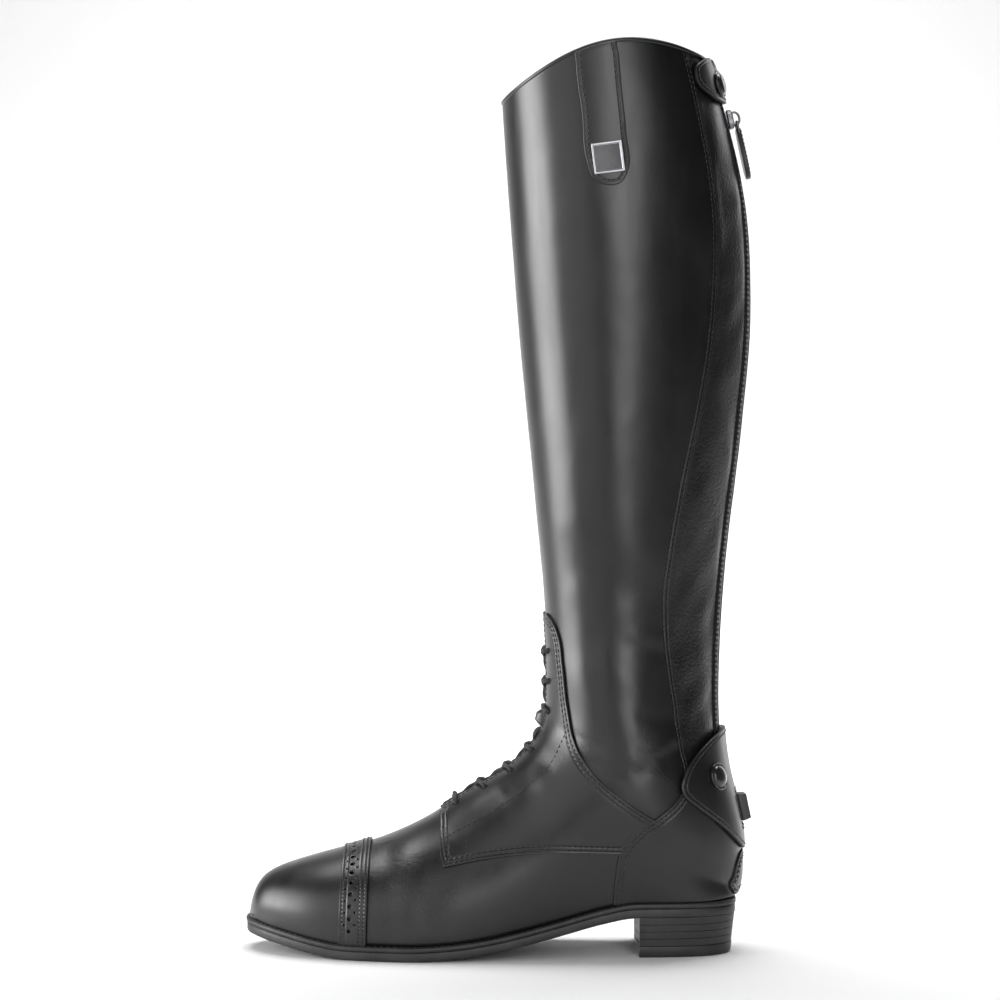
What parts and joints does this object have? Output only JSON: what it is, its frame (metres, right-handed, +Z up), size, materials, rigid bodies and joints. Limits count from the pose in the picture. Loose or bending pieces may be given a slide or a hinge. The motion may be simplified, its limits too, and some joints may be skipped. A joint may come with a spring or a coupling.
{
  "type": "tall riding boot",
  "caption": "Tall laced leather riding boot with a full-length back zip, high shaped collar, toe cap, heel flap, spur rest and low stacked heel, standing empty on its sole.",
  "frame": {"origin": "on the floor under the middle of the heel's top piece", "axes": "-X towards the toe, -Y towards the outer side of the left foot, +Z up the shaft"},
  "size_m": [0.2805, 0.1109, 0.493],
  "materials": {
    "shaft_leather": "polished smooth black calf",
    "overlay_leather": "polished smooth black calf",
    "tongue_leather": "soft grained black",
    "lining": "matte",
    "rubber": "matte with a waxed edge",
    "textile": "woven black",
    "zip_teeth": "black coil",
    "dark_metal": "gunmetal",
    "snap_metal": "gloss black",
    "badge_metal": "dark nickel"
  },
  "bodies": {
    "boot": {"upper": "shaft_leather", "toe_cap": "overlay_leather", "quarter": "overlay_leather", "counter": "overlay_leather", "heel_patch": "overlay_leather", "heel_flap": "overlay_leather", "top_flap": "overlay_leather", "side_strap": "overlay_leather", "outsole": "rubber", "welt": "rubber", "heel_block": "rubber", "heel_top_piece": "rubber", "spur_rest": "rubber", "insole": "lining", "tongue": "tongue_leather", "lace": "textile", "zip_tape": "textile", "zip_chain": "zip_teeth", "zip_slider": "dark_metal", "heel_flap_snap": "snap_metal", "top_flap_snap": "snap_metal", "badge": "badge_metal"},
    "zip_pull": {"zip_pull_link": "dark_metal", "zip_pull_tab": "overlay_leather"}
  },
  "joints": [
    {"name": "zip_pull_swing", "type": "hinge", "parent": "boot", "child": "zip_pull", "pos_m": [0.02084, -0.00277, 0.45366], "axis": [0, -1, 0], "range_deg": [0, 105]}
  ]
}
